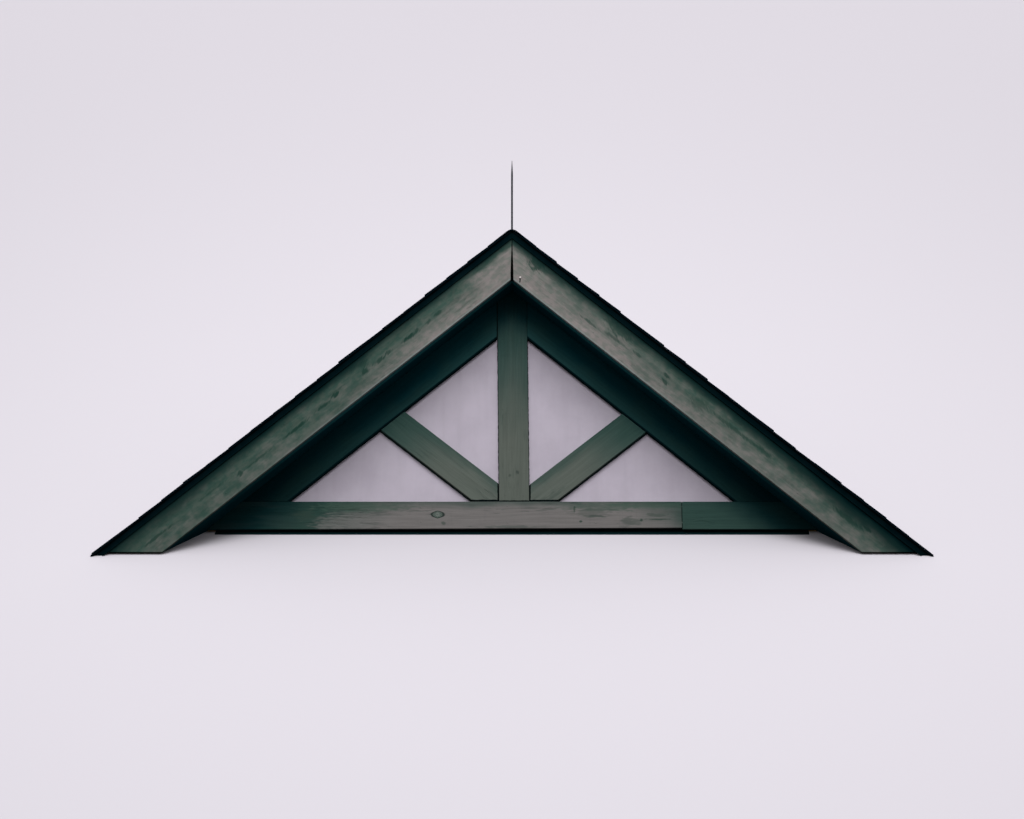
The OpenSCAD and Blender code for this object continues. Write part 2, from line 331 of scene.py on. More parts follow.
class Value:
    """A number, colour or place that changes over a surface; sums with it turn into nodes."""

    def __init__(self, socket):
        self.socket = socket

    def node(self, kind, inputs, **settings):
        return add_node(self.socket.id_data, kind, inputs, **settings)

    def maths(self, operation, first, second=0.0):
        return self.node("Math", {0: first, 1: second}, operation=operation)[0]

    def __add__(self, other):
        return self.maths("ADD", self, other)

    def __sub__(self, other):
        return self.maths("SUBTRACT", self, other)

    def __rsub__(self, other):
        return self.maths("SUBTRACT", other, self)

    def __mul__(self, other):
        return self.maths("MULTIPLY", self, other)

    def __truediv__(self, other):
        return self.maths("DIVIDE", self, other)

    def __rtruediv__(self, other):
        return self.maths("DIVIDE", other, self)

    def __pow__(self, other):
        return self.maths("POWER", self, other)

    def __abs__(self):
        return self.maths("ABSOLUTE", self)

    def at_least(self, other):
        return self.maths("MAXIMUM", self, other)

    def between(self, low, high, at_low=0.0, at_high=1.0):
        """Goes softly from one number to another while this value goes from low to high."""
        inputs = {0: self, 1: low, 2: high, 3: at_low, 4: at_high}
        return self.node("MapRange", inputs, interpolation_type="SMOOTHSTEP")[0]

    def over_noise(self, at_low, at_high):
        """Goes from one number to another over the middle of a noise's range."""
        return self.between(0.3, 0.7, at_low, at_high)

    def swing(self, amount):
        """A noise made small and set about zero."""
        return (self - 0.5) * amount

    def blend(self, share, other):
        """A number that lies a share of the way to another."""
        return self.node("Mix", {0: share, 2: self, 3: other})[0]

    def mix(self, first, second):
        """The first colour, with this share of the second one laid over it."""
        return self.node("Mix", {0: self, 6: first, 7: second}, data_type="RGBA")[2]

    def scaled(self, factor):
        """A colour made lighter or darker."""
        return self.node("VectorMath", {0: self, 3: factor}, operation="SCALE")[0]

    def vector(self, operation, other=ORIGIN):
        made = self.node("VectorMath", {0: self, 1: other}, operation=operation)
        return made["Value" if operation in ("LENGTH", "DOT_PRODUCT") else "Vector"]

    def split(self):
        made = self.node("SeparateXYZ", {0: self})
        return made[0], made[1], made[2]

    def turned(self, angle):
        """A place turned about the third direction."""
        return self.node("VectorRotate", {"Vector": self, "Angle": angle, "Axis": (0, 0, 1)})[0]

    def noise(self, stretch=None, scale=1.0, detail=2.0, roughness=0.5):
        place = self.vector("MULTIPLY", stretch) if stretch else self
        inputs = {"Vector": place, "Scale": scale, "Detail": detail, "Roughness": roughness}
        return self.node("TexNoise", inputs)[0]

    def cells(self, scale=1.0):
        """One plain number for each cell, and how far a point is from its cell's middle."""
        made = self.node("TexVoronoi", {"Vector": self, "Scale": scale})
        return self.node("SeparateColor", {0: made["Color"]})[0], made["Distance"]


class Finish:
    """A material in the making: its colour so far, and the nodes that lead to its shader."""

    def __init__(self, name, specular=0.05):
        self.material = bpy.data.materials.new(name)
        self.material.use_nodes = True
        self.tree = self.material.node_tree
        self.shader = self.tree.nodes["Principled BSDF"]
        self.shader.inputs["Specular IOR Level"].default_value = specular
        self.colour = None

    def attribute(self, name):
        return add_node(self.tree, "Attribute", attribute_name=name)["Vector"]

    def place(self):
        """Where a point of the surface is, in metres."""
        return add_node(self.tree, "TexCoord")["Object"]

    def lay(self, share, stain):
        """Lays a share of a stain over the colour so far."""
        self.colour = share.mix(self.colour, stain)

    def lead(self, label, value):
        feed(self.shader.inputs[label], value)

    def relief(self, height, distance):
        inputs = {"Height": height, "Distance": distance, "Strength": 1.0}
        self.lead("Normal", add_node(self.tree, "Bump", inputs)[0])

    def done(self, roughness=None):
        """The finished material, with its colour and its roughness led to the shader."""
        self.lead("Base Color", self.colour)
        if roughness:
            self.lead("Roughness", roughness)
        return self.material


def spelt(name):
    """A function's or an argument's name as a socket's label."""
    return name.replace("_", " ").title()


def shared_group(*puts_out):
    """Makes a node group of a function, with its arguments as sockets; calls then place it."""
    def build(recipe):
        tree = bpy.data.node_groups.new(spelt(recipe.__name__), "ShaderNodeTree")
        for key, argument in inspect.signature(recipe).parameters.items():
            start = argument.default
            kind = {3: "Vector", 4: "Color"}[len(start)] if isinstance(start, tuple) else "Float"
            socket = tree.interface.new_socket(
                name=spelt(key), in_out="INPUT", socket_type="NodeSocket" + kind
            )
            socket.default_value = start
        for label in puts_out:
            kind = "Color" if label == "Color" else "Float"
            tree.interface.new_socket(
                name=label, in_out="OUTPUT", socket_type="NodeSocket" + kind
            )
        given = tree.nodes.new("NodeGroupInput").outputs
        results = recipe(*[Value(socket) for socket in given if socket.name])
        out = tree.nodes.new("NodeGroupOutput").inputs
        for label, result in zip(puts_out, results):
            feed(out[label], result)

        @functools.wraps(recipe)
        def place_group(**chosen):
            inputs = {spelt(key): value for key, value in chosen.items()}
            return add_node(tree_of(*chosen.values()), "Group", inputs, node_tree=tree)
        return place_group
    return build


# Node groups shared by several finishes

@shared_group("Lines", "Streaks", "Flecks", "Marks")
def wood_figure(grain=ORIGIN, line_width=0.008, line_length=0.35):
    """Growth lines, broad streaks, dark flecks along a board, and saw marks across it."""
    aside = grain.noise((1.3, 9, 1), detail=1.0).swing(0.035)
    bent = grain.vector("ADD", joined(0, aside, 0))
    fine = bent.vector("DIVIDE", joined(line_length, line_width, line_width))
    lines = fine.noise(detail=3.0, roughness=0.65)
    streaks = fine.noise((0.7, 0.16, 0.5))
    short = fine.noise((3.0, 0.9, 0.7), detail=3.0)
    gathered = fine.noise((0.75, 0.10, 0.3), detail=1.0)
    flecks = short.between(0.50, 0.62) * gathered.between(0.52, 0.68)
    marks = grain.noise((150, 9, 9)).between(0.55, 0.72)
    return lines, streaks, flecks, marks


def shares_of_size(grain, centre, length, width):
    """How far a point of a board lies from a mark's centre, as shares of the mark's size."""
    away = grain.vector("MULTIPLY", (1, 1, 0)).vector("SUBTRACT", centre)
    return away.vector("DIVIDE", joined(length, width, 1.0))


@shared_group("Rim", "Heart", "Rings")
def knot(grain=ORIGIN, centre=ORIGIN, length=0.05, width=0.03):
    """One knot: its dark rim, its heart and the rings in it."""
    reach = shares_of_size(grain, centre, length, width).vector("ABSOLUTE").scaled(2.0)
    along, across, _ = reach.split()
    distance = along + across ** 2.0 + grain.noise(scale=70.0) * 0.4
    rim = distance.between(0.80, 1.05) * distance.between(1.45, 1.20)
    heart = distance.between(1.30, 1.10)
    turns = distance * 9.0 + grain.noise(scale=180.0) * 9.0
    rings = turns.maths("SINE", turns).between(-1.0, 1.0)
    return rim, heart, rings * heart


@shared_group("Mask")
def placed_mark(grain=ORIGIN, centre=ORIGIN, length=0.05, width=0.02, strength=1.0, slant=0.0):
    """One ragged mark, such as a patch of sound stain, at its place on a board."""
    ragged = grain.turned(slant).noise((30, 120, 9))
    reach = shares_of_size(grain, centre, length, width).vector("LENGTH") + ragged * 1.1
    return [reach.between(1.25, 0.80) * strength]


@shared_group("Reach")
def rain_reach(place=ORIGIN, dry_down_to=0.05, open_from=0.75):
    """How far below the soffit a point of the wall lies: nothing close under it, all of it far
    below; it drives both the weathering and painted shade.
    """
    x, _, z = place.split()
    below = (APEX_HEIGHT - z) * COS - abs(x) * SIN
    uneven = place.noise(scale=6.0) * 0.12 - 0.06
    return [(below + uneven).between(dry_down_to, open_from)]


@shared_group("Color", "Roughness", "Height")
def worn_stain(
    sound=(0.1, 0.1, 0.1, 1), faded=(0.3, 0.3, 0.3, 1), wear=0.5, lines=0.5, streaks=0.5,
    flecks=0.0, marks=0.0, contrast=0.5,
):
    """An old stain that fades from its sound colour to a grey one and lets the grain show."""
    patchy = streaks.over_noise(-0.16, 0.16) * contrast
    lost = wear.node("Clamp", {0: wear + patchy})[0]
    drawn = lines.over_noise(-0.28, 0.28) * contrast
    colour = lost.mix(sound, faded).scaled(drawn + 1.0 - marks * (contrast * 0.14))
    strong = flecks * contrast
    colour = (strong * 0.75).mix(colour, sound).scaled(1.0 - strong * 0.35)
    return colour, lost.between(0.0, 1.0, 0.70, 0.88), lines - flecks * 0.6


@shared_group("Tone", "Height")
def pressed_strands(place=ORIGIN, strand_length=0.09, strand_width=0.022):
    """Flat strands of wood pressed in all directions."""
    size = joined(strand_length, strand_width, strand_width)
    tone = height = None
    for layer, turn in enumerate((0.35, 1.35, 2.4)):
        laid = place.turned(turn).vector("DIVIDE", size)
        shade, distance = laid.vector("ADD", (layer * 5.3, 0, 0)).cells()
        top = distance.between(0.62, 0.50) * shade.between(0.35, 0.36)
        height = height + top if height else shade
        tone = tone.blend(top, shade) if tone else shade
    return tone, height


@shared_group("Color", "Height")
def granules(place=ORIGIN, color=(0.2, 0.2, 0.2, 1), grain_size=0.003, contrast=0.5):
    """Crushed stone pressed into felt: a speckle of light and dark grains."""
    shade, distance = place.cells(1.0 / grain_size)
    dark = shade.between(0.45, 0.0) * contrast
    light = shade.between(0.6, 1.0) * contrast
    colour = (light * 0.6).mix(dark.mix(color, srgb(30, 28, 29)), srgb(176, 168, 168))
    return colour, 1.0 - distance


@shared_group("Mask")
def grime(place=ORIGIN, amount=0.5):
    """Soft dirt that has run down a surface."""
    runs = place.noise((26, 26, 2.2), detail=3.0)
    clouds = place.noise(scale=3.0, detail=4.0, roughness=0.6)
    return [runs.between(0.42, 0.75) * clouds.between(0.3, 0.7) * amount]


# Layers that several finishes lay over their colour

def lay_grime(finish, amount, dirt):
    """Dirt in runs, up to an amount."""
    finish.lay(grime(place=finish.place(), amount=amount)["Mask"], dirt)


def lay_marks(finish, grain, marks, stain, slant=0.0):
    """Marks, each with its place on the board, its size and its strength."""
    for along, across, length, width, strength in marks:
        mark = placed_mark(
            grain=grain, centre=(along, across, 0), length=length, width=width,
            strength=strength, slant=slant,
        )
        finish.lay(mark["Mask"], stain)


def lay_laps(finish, laps, stain):
    """Painted shade: a dark band that reaches a little way past each given edge, where a
    neighbouring board meets this one.
    """
    place = finish.place()
    wobble = place.noise(scale=40.0).swing(0.006)
    soft = 0.001
    for point, outward, width in laps:
        beyond = place.vector("DOT_PRODUCT", outward) - point.dot(outward) + wobble
        finish.lay(beyond.between(width + soft, width - soft), stain)


def lay_stain_outside(finish, front):
    """Painted shade: near black on what lies in front of a depth, such as the ends of the wall's
    own frame that show at the front.
    """
    depth = finish.place().split()[1]
    finish.lay(depth.between(front + 0.004, front), srgb(2, 18, 21))


def stain_on_wood(grain, line_width, line_length, **given):
    """The look of a worn stain over the figure of its wood."""
    figure = wood_figure(grain=grain, line_width=line_width, line_length=line_length)
    drawn = {label.lower(): figure[label] for label in ("Lines", "Streaks", "Flecks", "Marks")}
    return worn_stain(**drawn, **given)


# Finishes of the boards

@dataclass
class Weathering:
    """How a kind of wall board has aged, and how dark its painted shade under the soffit is;
    distances are measured down from the soffit.
    """
    sound: tuple
    faded: tuple
    # The colour close under the soffit, darkened there as painted shade
    sheltered: tuple = srgb(12, 50, 55)
    contrast: float = 0.25
    dark_down_to: float = 0.05
    green_from: float = 0.18
    grey_from: float = 0.60
    # Height across the board above which it has kept more of its stain
    greener_above: float = 1.0


def stain_look(finish, age):
    """A wall board's stain: dark under the soffit as painted shade, then green, then weathered
    grey; gives its grain.
    """
    grain, place, above = finish.attribute("grain"), finish.place(), age.greener_above
    # Painted shade: from the dark colour close under the soffit to the sound stain further down
    below_dark = rain_reach(place=place, dry_down_to=age.dark_down_to, open_from=age.green_from)
    in_rain = rain_reach(
        place=place, dry_down_to=age.green_from - 0.04, open_from=age.grey_from
    )
    height = grain.split()[1] + grain.noise((7, 20, 1), detail=3.0).swing(0.06)
    kept = height.between(above - 0.02, above + 0.03, 1.0, 0.35)
    stain = stain_on_wood(
        grain, 0.011, 0.22, sound=below_dark["Reach"].mix(age.sheltered, age.sound),
        faded=age.faded, wear=in_rain["Reach"] * kept, contrast=age.contrast,
    )
    finish.colour = stain["Color"]
    finish.lead("Roughness", stain["Roughness"])
    finish.relief(stain["Height"], 0.0010)
    return grain


def stained_board(name, age, marks=(), joints=()):
    """A wall board's finish, with its own marks and with painted shade, nearly black, along its
    joints.
    """
    finish = Finish(name, specular=0.02)
    grain = stain_look(finish, age)
    lay_marks(finish, grain, marks, srgb(52, 62, 57))
    # Painted shade along the joints
    lay_laps(finish, joints, srgb(2, 10, 12))
    return finish.done()


def frieze_finish():
    """Friezes: painted shade makes them nearly black under the soffit, lighter towards the apex
    and darker towards the foot, with a painted shadow line along their lower edge.
    """
    finish = Finish("Frieze Stain", specular=0.0)
    age = Weathering(
        srgb(27, 56, 57), srgb(42, 66, 63), sheltered=srgb(7, 48, 55), dark_down_to=0.03,
        green_from=0.11,
    )
    along, across, _ = stain_look(finish, age).split()
    # Painted light and shade along the frieze: lighter near the apex, darker towards the foot
    by_apex, by_foot = along.between(0.2, 0.8, 1.3, 1.0), along.between(0.8, 1.6, 1.0, 0.47)
    finish.colour = finish.colour.scaled(by_apex * by_foot)
    # Painted shadow line along the lower edge
    finish.lay(across.between(0.010, 0.006), srgb(3, 22, 26))
    return finish.done()


# Marks on the wall: place from the centre, height, length, width and strength
KNOTS = ((-0.347, 0.033, 0.062, 0.036, 1.0),)
SILL_MARKS = (
    (-0.955, 0.030, 0.100, 0.050, 0.55), (-0.730, 0.060, 0.060, 0.014, 0.50),
    (-0.318, -0.010, 0.022, 0.016, 0.60), (-0.010, -0.026, 0.280, 0.012, 0.45),
    (0.320, 0.000, 0.013, 0.012, 0.90), (0.380, 0.024, 0.100, 0.011, 0.60),
    (0.290, 0.058, 0.009, 0.040, 0.70), (0.370, 0.045, 0.180, 0.040, 0.35),
    (0.545, -0.003, 0.085, 0.045, 0.50), (0.602, 0.006, 0.013, 0.012, 0.90),
    (0.680, 0.010, 0.110, 0.009, 0.75), (0.675, 0.030, 0.100, 0.018, 0.50),
)
SILL_GREEN = (
    (-0.700, 0.068, 0.420, 0.040, 0.60), (0.420, 0.070, 0.340, 0.040, 0.50),
    (0.620, 0.076, 0.340, 0.034, 0.50),
)
SILL_GREY = ((-0.785, -0.005, 0.250, 0.072, 0.55), (-0.845, -0.030, 0.140, 0.026, 0.35))
POST_MARKS = ((-0.010, 0.222, 0.016, 0.014, 0.55), (0.028, 0.237, 0.018, 0.016, 0.60))


def from_corner(board, marks):
    """Marks given from the wall's centre, counted from a level board's lower left corner."""
    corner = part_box(board)[0]
    return [(x - corner.x, z - corner.z, *rest) for x, z, *rest in marks]


def sill_finish():
    """The sill: greyer than the other boards, with a knot and marks at their places along it."""
    finish = Finish("Sill Stain", specular=0.02)
    age = Weathering(
        srgb(42, 66, 60), srgb(113, 110, 109), sheltered=srgb(11, 41, 43), contrast=0.3,
        dark_down_to=0.10, green_from=0.28, grey_from=0.55, greener_above=0.108,
    )
    grain = stain_look(finish, age)
    for marks, stain in (
        (SILL_GREY, srgb(110, 110, 108)), (SILL_GREEN, srgb(63, 84, 74)),
        (SILL_MARKS, srgb(52, 68, 61)),
    ):
        lay_marks(finish, grain, from_corner("sill_board_long", marks), stain)
    for along, across, length, width, strength in from_corner("sill_board_long", KNOTS):
        grown = knot(grain=grain, centre=(along, across, 0), length=length, width=width)
        rings = grown["Rings"].mix(srgb(58, 80, 71), srgb(104, 114, 108))
        finish.lay(grown["Heart"] * (0.75 * strength), rings)
        finish.lay(grown["Rim"] * (0.9 * strength), srgb(34, 44, 41))
    return finish.done()


@dataclass
class VergeAge:
    """How a bargeboard has aged, and where its painted shade lies, near its top, at its middle
    and at its foot.
    """
    # How high across the board it has gone grey, and how much
    grey_up_to: tuple
    greyness: tuple
    # Where across the board the painted shade under the drip edge begins, and where it is full
    shade_from: tuple
    shade_to: tuple


VERGE_AGES = {
    "left": VergeAge(
        grey_up_to=(0.113, 0.105, 0.080), greyness=(0.92, 0.30, 0.22),
        shade_from=(0.114, 0.103, 0.078), shade_to=(0.168, 0.149, 0.162),
    ),
    "right": VergeAge(
        grey_up_to=(0.164, 0.125, 0.145), greyness=(1.00, 0.62, 0.42),
        shade_from=(0.104, 0.103, 0.050), shade_to=(0.162, 0.151, 0.136),
    ),
}
# Marks on the bargeboards: distance down the slope, height, length, width and strength
VERGE_MARKS = {
    "left": (
        (0.378, 0.090, 0.050, 0.016, 0.75), (0.440, 0.086, 0.035, 0.018, 0.65),
        (0.506, 0.086, 0.032, 0.020, 0.75), (0.560, 0.084, 0.070, 0.020, 1.00),
        (0.680, 0.088, 0.035, 0.020, 0.75), (0.735, 0.084, 0.070, 0.018, 0.85),
        (0.808, 0.116, 0.050, 0.036, 0.65), (0.822, 0.086, 0.040, 0.026, 0.90),
        (0.985, 0.096, 0.090, 0.010, 0.50), (1.000, 0.083, 0.045, 0.022, 1.00),
        (1.082, 0.077, 0.075, 0.015, 0.90), (1.235, 0.071, 0.130, 0.015, 1.00),
        (1.470, 0.068, 0.140, 0.011, 0.60), (1.572, 0.066, 0.026, 0.024, 0.80),
        (1.730, 0.083, 0.160, 0.010, 0.55), (2.060, 0.073, 0.160, 0.013, 0.75),
    ),
    "right": (
        (0.040, 0.135, 0.085, 0.060, 0.85), (0.045, 0.105, 0.035, 0.014, 0.60),
        (0.420, 0.065, 0.110, 0.012, 0.60), (0.550, 0.125, 0.130, 0.055, 0.70),
        (0.550, 0.077, 0.080, 0.018, 0.60), (0.695, 0.086, 0.055, 0.013, 0.60),
        (0.862, 0.092, 0.035, 0.020, 0.80), (0.875, 0.062, 0.036, 0.024, 0.80),
        (1.070, 0.080, 0.080, 0.055, 0.40), (1.260, 0.088, 0.220, 0.018, 0.65),
        (1.440, 0.090, 0.090, 0.022, 0.65), (1.930, 0.085, 0.170, 0.024, 0.80),
        (2.030, 0.102, 0.050, 0.015, 0.80),
    ),
}


def down_verge(along, values):
    """A value that changes down a bargeboard, from its top past its middle to its foot."""
    top, middle, foot = values
    return along.between(0.55, 1.25, top, middle) + along.between(1.25, 2.15, 0.0, foot - middle)


def verge_wear(grain, clouds, age):
    """How much of its stain a bargeboard has lost: most below, where the rain runs off it."""
    along, across, _ = grain.split()
    height = across + clouds.swing(0.08)
    wear = (1.0 - height / down_verge(along, age.grey_up_to)).at_least(0.0)
    wear = wear * down_verge(along, age.greyness)
    patchy = grain.noise((11, 18, 1)).between(0.35, 0.65, -0.13, 0.11)
    wear = wear + patchy * along.between(0.6, 1.1, 0.4, 1.0)
    by_apex = along.between(0.38, 0.24, 0.0, 0.78)
    return wear.at_least(by_apex * height.between(0.142, 0.110))


def open_joint(place):
    """Where the boards' ends at the apex stand apart; painted black there as the shade in the
    gap.
    """
    x, _, z = place.split()
    half_open = z.between(APEX_HEIGHT, APEX_HEIGHT + 0.23, 0.0068, 0.0012)
    return (abs(x) - half_open).between(0.0010, -0.0006)


def verge_finish(word):
    """Bargeboards: grey where the rain runs off them, dark green above that, and painted shade,
    near black, under the drip edge.
    """
    finish = Finish(word.title() + " Verge Stain", specular=0.0)
    age = VERGE_AGES[word]
    grain = finish.attribute("grain")
    along, across, _ = grain.split()
    clouds = grain.noise((7, 20, 1), detail=3.0)
    warmth = grain.noise((30, 48, 9), detail=3.0).between(0.35, 0.65)
    stain = stain_on_wood(
        grain, 0.013, 0.20, wear=verge_wear(grain, clouds, age), contrast=0.28,
        sound=warmth.mix(srgb(53, 75, 68), srgb(66, 81, 74)),
        faded=warmth.mix(srgb(117, 117, 113), srgb(134, 126, 125)),
    )
    finish.colour = stain["Color"]
    corner = ridge_start(BARGE_WIDTH)
    marks = [(down - corner, *rest) for down, *rest in VERGE_MARKS[word]]
    lay_marks(finish, grain, marks, srgb(34, 58, 51), slant=0.5)
    # A paler rim along the lower edge, fading out towards the foot
    worn_rim = across.between(0.010, 0.004) * along.between(0.6, 2.0, 0.40, 0.0)
    finish.lay(worn_rim, srgb(126, 140, 140))
    # Painted shade under the drip edge: dark green, then near black along the top
    closer = across + clouds.swing(0.03)
    full = down_verge(along, age.shade_to)
    finish.lay(closer.between(down_verge(along, age.shade_from), full), srgb(17, 38, 37))
    finish.lay(closer.between(full - 0.006, full + 0.019), srgb(2, 22, 25))
    # Painted shade, black, in the open joint at the apex
    finish.lay(open_joint(finish.place()), srgb(5, 5, 4))
    finish.relief(stain["Height"], 0.0012)
    return finish.done(stain["Roughness"])


def soffit_finish():
    """Soffit and fly rafters: dark, with painted light at the front and painted shade, black,
    behind the open joint.
    """
    finish = Finish("Soffit Stain", specular=0.0)
    dark = srgb(9, 52, 60)
    stain_look(finish, Weathering(dark, srgb(14, 56, 63), sheltered=dark))
    x, depth, _ = finish.place().split()
    # Painted light: lighter towards the front edge, less so towards the foot
    lighter = depth.between(-0.185, -0.208) * abs(x).between(0.7, 1.5, 1.0, 0.1)
    finish.lay(lighter, srgb(38, 92, 96))
    # Painted shade, black, behind the open joint at the apex
    behind_joint = abs(x).between(0.014, 0.010) * depth.between(-0.238, -0.245)
    finish.lay(behind_joint, srgb(4, 4, 3))
    return finish.done()


def panel_finish(name, laps):
    """A painted panel: pale, softly mottled, darker under the soffit and along its rim as painted
    shade.
    """
    finish = Finish(name, specular=0.1)
    place = finish.place()
    brushed = place.noise((60, 60, 9), detail=3.0)
    tone = place.noise(scale=5.0, detail=4.0, roughness=0.6).blend(0.12, brushed)
    paint = tone.between(0.3, 0.7).mix(srgb(176, 168, 181), srgb(186, 178, 191))
    reach = rain_reach(place=place, dry_down_to=0.12, open_from=0.42)["Reach"]
    # Painted shade: the paint is darker close under the soffit
    finish.colour = reach.mix(paint.scaled(0.80), paint)
    lay_grime(finish, 0.10, srgb(130, 124, 130))
    # Painted shade along the panel's rim, where the boards' edges meet it
    lay_laps(finish, laps, srgb(10, 28, 28))
    finish.relief(brushed, 0.0003)
    return finish.done(tone.over_noise(0.62, 0.78))


def lumber_finish():
    """Bare framing timber behind the wall."""
    finish = Finish("Framing Timber")
    grain = finish.attribute("grain")
    figure = wood_figure(grain=grain, line_width=0.007, line_length=0.9)
    lines = figure["Lines"]
    finish.colour = figure["Streaks"].mix(srgb(205, 178, 138), srgb(222, 200, 164))
    finish.lay(lines.between(0.62, 0.38, 0.0, 0.55), srgb(168, 128, 84))
    _, from_knot = grain.vector("MULTIPLY", (2.4, 9, 9)).cells()
    finish.lay(from_knot.between(0.16, 0.09) * 0.75, srgb(112, 74, 44))
    lay_grime(finish, 0.35, srgb(128, 104, 80))
    lay_stain_outside(finish, -0.063)
    finish.relief(lines, 0.0008)
    return finish.done(lines.over_noise(0.68, 0.8))


def strand_finish(name, pale, dark):
    """Sheets of pressed strands: sheathing and roof deck."""
    finish = Finish(name)
    strands = pressed_strands(place=finish.attribute("grain"))
    finish.colour = strands["Tone"].mix(dark, pale)
    lay_grime(finish, 0.3, srgb(110, 88, 62))
    lay_stain_outside(finish, -0.070)
    finish.relief(strands["Height"], 0.0008)
    return finish.done(strands["Tone"].between(0.0, 1.0, 0.7, 0.82))


# Finishes of the roof and the metal

def shingle_finish():
    """Granules on laminated shingles, each tab in a tone of its own."""
    finish = Finish("Shingle Granules", specular=0.05)
    thick, above_butt, tone = finish.attribute("laid").split()
    place = finish.place()
    brown = tone.between(0.0, 0.45).mix(srgb(84, 76, 77), srgb(118, 108, 110))
    green = tone.between(0.72, 1.0).mix(srgb(98, 94, 94), srgb(86, 87, 85))
    finish.colour = tone.between(0.5, 0.6).mix(brown, green)
    finish.lay(thick.between(0.9, 0.1) * 0.30, srgb(40, 37, 38))
    blotches = place.noise(scale=9.0, detail=3.0)
    finish.lay(blotches.between(0.45, 0.75, 0.0, 0.35), srgb(62, 62, 60))
    finish.lay(above_butt.between(0.100, 0.127, 0.0, 0.35), srgb(42, 40, 41))
    stones = granules(place=place, color=finish.colour, grain_size=0.004)
    finish.colour = stones["Color"]
    finish.relief(stones["Height"], 0.001)
    return finish.done(blotches.over_noise(0.85, 0.95))


def cut_edge_finish():
    """The dark cut edge of a shingle."""
    finish = Finish("Shingle Edge", specular=0.0)
    layers = finish.place().noise(scale=180.0)
    finish.colour = layers.mix(srgb(1, 9, 13), srgb(10, 17, 23))
    finish.relief(layers, 0.0008)
    return finish.done(layers.over_noise(0.8, 0.95))


def coated_metal_finish(name, dark, light):
    """Drip edge and flashing: dark green coat, dusty, with dull patches and a lower lip made
    paler as painted light.
    """
    finish = Finish(name, specular=0.0)
    place = finish.place()
    patches = place.noise(scale=14.0, detail=3.0)
    finish.colour = patches.between(0.35, 0.7).mix(dark, light)
    x, _, z = place.split()
    above_verge = abs(x) * SIN + (z - APEX_HEIGHT) * COS
    # Painted light: the lower lip is a little paler, grading the shade under the shingles into
    # the bargeboard below
    finish.lay(above_verge.between(0.176, 0.156, 0.0, 0.15), srgb(9, 29, 29))
    lay_grime(finish, 0.25, srgb(8, 23, 26))
    finish.relief(patches, 0.0006)
    return finish.done(patches.over_noise(0.6, 0.8))


def rod_finish():
    """Rod and base: dark weathered metal."""
    finish = Finish("Rod Metal", specular=0.5)
    patches = finish.place().noise(scale=60.0, detail=3.0)
    finish.colour = patches.between(0.35, 0.7).mix(srgb(26, 29, 37), srgb(48, 48, 54))
    finish.lead("Metallic", patches.over_noise(0.75, 0.35))
    finish.relief(patches, 0.0003)
    return finish.done(patches.over_noise(0.42, 0.65))


def bare_nail_finish():
    """A galvanised nail that has lost its stain."""
    finish = Finish("Bare Nail", specular=0.5)
    spots = finish.place().noise(scale=500.0)
    finish.colour = spots.mix(srgb(196, 186, 186), srgb(222, 214, 214))
    return finish.done(spots.over_noise(0.4, 0.6))


def streak_finish():
    """A dark streak below the nail."""
    finish = Finish("Nail Streak", specular=0.0)
    runs = finish.place().noise((400, 400, 60))
    finish.colour = runs.mix(srgb(34, 40, 38), srgb(64, 68, 66))
    return finish.done(runs.over_noise(0.8, 0.9))


# Edges of boards, for what lies along them

def front_corners(node):
    """The corners of a board's front face, in order round it."""
    mesh = whole_faces(node)
    mesh.normal_update()
    front = max(mesh.faces, key=lambda face: -face.normal.y * face.calc_area())
    corners = [corner.co.copy() for corner in front.verts]
    mesh.free()
    return corners


def middle_of(corners):
    return sum(corners, Vector()) / len(corners)


def edge_towards(board, neighbour):
    """A point on the board's long edge that looks towards a neighbour, and the way it looks."""
    shortest = 0.25
    target = middle_of(front_corners(neighbour))
    corners = front_corners(board)
    middle = middle_of(corners)
    for start, end in zip(corners, corners[1:] + corners[:1]):
        along = end - start
        outward = Vector((-along.z, 0, along.x)).normalized()
        if outward.dot(start - middle) < 0:
            outward.negate()
        if along.length > shortest and outward.dot(target - start) > 0:
            return start, outward
    raise ValueError(board)


def laps_on(node, widths):
    """How far the painted shade by each neighbour reaches over a board's front."""
    return [(*edge_towards(board, node), width) for board, width in widths.items()]


# Nails

def verge_nails(side):
    """Pairs of nails at the lookouts."""
    return [
        on_slope(side, TIMBER * 1.5 + number * SPACING, VERGE_FACE, height)
        for number in range(5) for height in (0.035, 0.125)
    ]


def post_nails():
    """Pairs of nails into the stud behind the king post, which leans a little."""
    foot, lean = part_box("king_post")[0].z, 0.01
    return [
        Vector((x + lean * (1 - height), BOARD_FACE, foot + height))
        for height in (0.03, 0.45, 0.80) for x in (-0.045, 0.045)
    ]


def sill_nails():
    """Pairs of nails into the studs and the plate behind the sill."""
    low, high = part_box("sill_board_long")
    aside = 0.02
    return [
        Vector((number * SPACING - aside, BOARD_FACE, z))
        for number in range(-2, 3) for z in (low.z + 0.035, high.z - 0.025)
    ]


